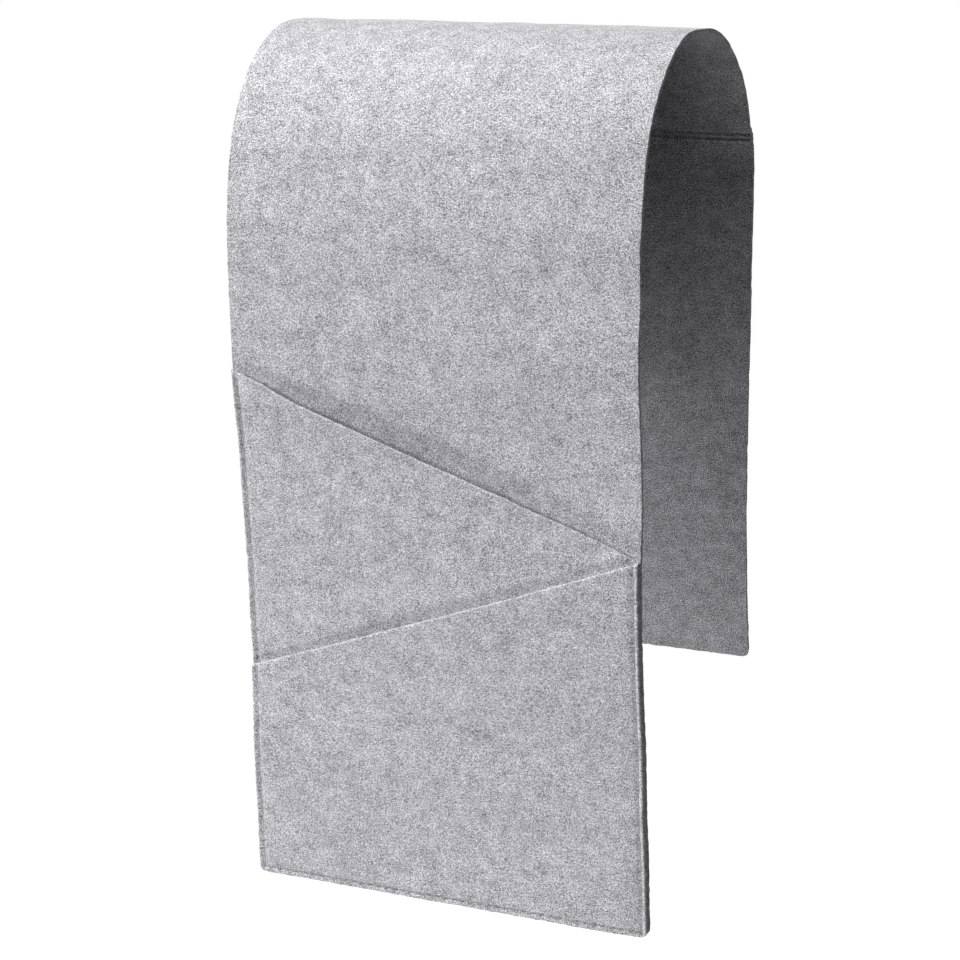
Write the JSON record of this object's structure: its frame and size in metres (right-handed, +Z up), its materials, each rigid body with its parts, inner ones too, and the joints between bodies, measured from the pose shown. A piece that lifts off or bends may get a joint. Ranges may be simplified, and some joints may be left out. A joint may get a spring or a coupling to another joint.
{
  "type": "armrest organizer",
  "caption": "Felt saddle that hangs over a sofa's armrest, with a long front flap that carries two overlapping pockets with slanted mouths, and a shorter back flap.",
  "frame": {"origin": "under the felt at the middle of its top, where it rests on the armrest", "axes": "+Z up, +X across the organizer to the right when facing the pockets, -Y out of the pockets towards the viewer"},
  "size_m": [0.25, 0.1977, 0.5049],
  "materials": {
    "felt": "heathered light-grey needle felt, matt and slightly fuzzy",
    "thread": "light-grey polyester sewing thread, slightly glossy"
  },
  "bodies": {
    "saddle": {"saddle": "felt", "back_flap_lap": "felt", "lap_seam_upper_needle_thread": "thread", "lap_seam_upper_bobbin_thread": "thread", "lap_seam_lower_needle_thread": "thread", "lap_seam_lower_bobbin_thread": "thread"},
    "front_flap": {"front_flap": "felt", "rear_pocket": "felt", "front_pocket": "felt", "pocket_seam_needle_thread": "thread", "pocket_seam_bobbin_thread": "thread"},
    "back_flap": {"back_flap": "felt"}
  },
  "joints": [
    {"name": "front_flap_swing", "type": "hinge", "parent": "saddle", "child": "front_flap", "pos_m": [0, -0.0887, -0.104], "axis": [-1, 0, 0], "range_deg": [-10, 90]},
    {"name": "back_flap_swing", "type": "hinge", "parent": "saddle", "child": "back_flap", "pos_m": [0, 0.08878, -0.06758], "axis": [1, 0, 0], "range_deg": [-10, 90]}
  ]
}
